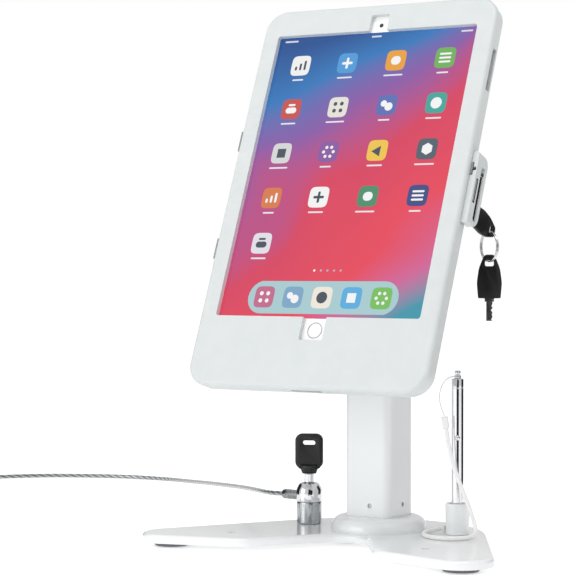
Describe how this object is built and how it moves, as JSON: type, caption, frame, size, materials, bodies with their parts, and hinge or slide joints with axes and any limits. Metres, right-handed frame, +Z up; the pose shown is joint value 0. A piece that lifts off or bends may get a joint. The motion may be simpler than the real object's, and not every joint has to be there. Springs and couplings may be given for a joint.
{
  "type": "tablet stand",
  "caption": "Countertop stand that holds a tablet in a hinged, key-locked case on a tilting and turning column, with a crescent base, a cable lock and a tethered stylus.",
  "frame": {"origin": "on the floor, at the middle of the centre foot under the column's axis", "axes": "+Z up along the column, -Y towards the user, +X to the user's right"},
  "size_m": [0.7595, 0.3533, 0.3755],
  "materials": {
    "white_coat": "gloss powder coat",
    "white_case": "satin moulded",
    "rubber": "matt",
    "steel": "zinc plated",
    "chrome": "polished",
    "nickel": "satin nickel plate",
    "alloy": "satin",
    "nylon": "plain",
    "black_key": "moulded",
    "cable_jacket": "clear jacket over stranded steel",
    "white_vinyl": "soft vinyl",
    "clear_line": "thin coated line",
    "white_glass": "back-painted glass",
    "screen": "lit display",
    "foam": "closed-cell foam"
  },
  "bodies": {
    "base": {"base_plate": "white_coat", "feet": "rubber", "foot_centre": "rubber", "base_screws": "steel", "column_flange": "steel", "collar": "white_coat", "column": "white_coat", "column_screws": "steel", "column_head": "alloy", "tilt_bolt": "steel", "tilt_nut": "steel", "tilt_washers": "nylon", "lock_anchor": "steel", "barrel_body": "nickel", "barrel_band": "chrome", "cable_ferrule": "black_key", "security_cable": "cable_jacket", "cable_coil": "cable_jacket", "cable_tail": "cable_jacket", "crimp_sleeve": "nickel", "cable_loop": "cable_jacket", "pen_cup": "white_case", "tether_string": "clear_line", "tether_sleeve": "white_vinyl", "tether_cord": "white_vinyl"},
    "tilt_head": {"tilt_yoke": "white_coat", "swivel_washer": "nylon"},
    "case": {"rear_shell": "white_case", "swivel_plate": "white_coat", "swivel_stud": "steel", "spring_washers": "steel", "swivel_nut": "steel", "plate_screws": "steel", "rear_knuckles": "white_case", "hinge_pins": "steel", "back_pads": "foam", "corner_bumpers": "rubber", "tablet_body": "alloy", "tablet_bezel": "white_glass", "tablet_screen": "screen", "lock_housing": "white_case", "slot_liner": "steel", "lock_sleeve": "nickel"},
    "front": {"front_frame": "white_case", "frame_knuckles": "white_case", "keeper": "steel"},
    "plug": {"lock_plug": "nickel"},
    "bolt": {"lock_bolt": "chrome"},
    "case_key": {"case_key_blade": "nickel", "case_key_head": "black_key"},
    "ring": {"key_ring": "nickel"},
    "spare_key": {"spare_key_blade": "nickel", "spare_key_head": "black_key"},
    "core": {"lock_core": "nickel"},
    "tube_key": {"tube_key_shaft": "chrome", "tube_key_head": "black_key"},
    "pen": {"pen_body": "chrome", "pen_tip": "chrome"},
    "home": {"home_button": "white_glass"}
  },
  "joints": [
    {"name": "tilt", "type": "hinge", "parent": "base", "child": "tilt_head", "pos_m": [0, 0, 0.224], "axis": [-1, 0, 0], "range_deg": [-22, 38]},
    {"name": "swivel", "type": "hinge", "parent": "tilt_head", "child": "case", "pos_m": [0, -0.03709, 0.23898], "axis": [0, -0.9272, 0.3746], "range_deg": [0, 90]},
    {"name": "front_hinge", "type": "hinge", "parent": "case", "child": "front", "pos_m": [-0.0932, -0.04543, 0.24236], "axis": [0, -0.3746, -0.9272], "range_deg": [0, 105]},
    {"name": "lock_turn", "type": "hinge", "parent": "case", "child": "plug", "pos_m": [0.0909, -0.04027, 0.2311], "axis": [0, -0.9272, 0.3746], "range_deg": [0, 90]},
    {"name": "bolt_slide", "type": "slide", "parent": "case", "child": "bolt", "axis": [0, 0.3746, 0.9272], "range_m": [0, 0.00509]},
    {"name": "case_key_pull", "type": "slide", "parent": "plug", "child": "case_key", "axis": [0, 0.9272, -0.3746], "range_m": [0, 0.018]},
    {"name": "ring_swing", "type": "hinge", "parent": "case_key", "child": "ring", "pos_m": [0.0909, -0.0089, 0.21638], "axis": [0.515, 0.8572, 0], "range_deg": [0, 8]},
    {"name": "spare_key_swing", "type": "hinge", "parent": "ring", "child": "spare_key", "pos_m": [0.0909, -0.0089, 0.19638], "axis": [0.5388, -0.8425, 0], "range_deg": [-22, 22]},
    {"name": "cable_lock_turn", "type": "hinge", "parent": "base", "child": "core", "pos_m": [-0.057, -0.001, 0.03], "axis": [0, 0, 1], "range_deg": [0, 90]},
    {"name": "tube_key_pull", "type": "slide", "parent": "core", "child": "tube_key", "axis": [0, 0, 1], "range_m": [0, 0.016]},
    {"name": "pen_lift", "type": "slide", "parent": "base", "child": "pen", "axis": [0, 0, 1], "range_m": [0, 0.05]},
    {"name": "home_press", "type": "slide", "parent": "case", "child": "home", "axis": [0, 0.9272, -0.3746], "range_m": [0, 0.0004], "stiffness_N_per_m": 900}
  ],
  "couplings": [
    {"joint": "lock_turn", "follows": "bolt_slide", "rad_per_m": 308.53}
  ]
}
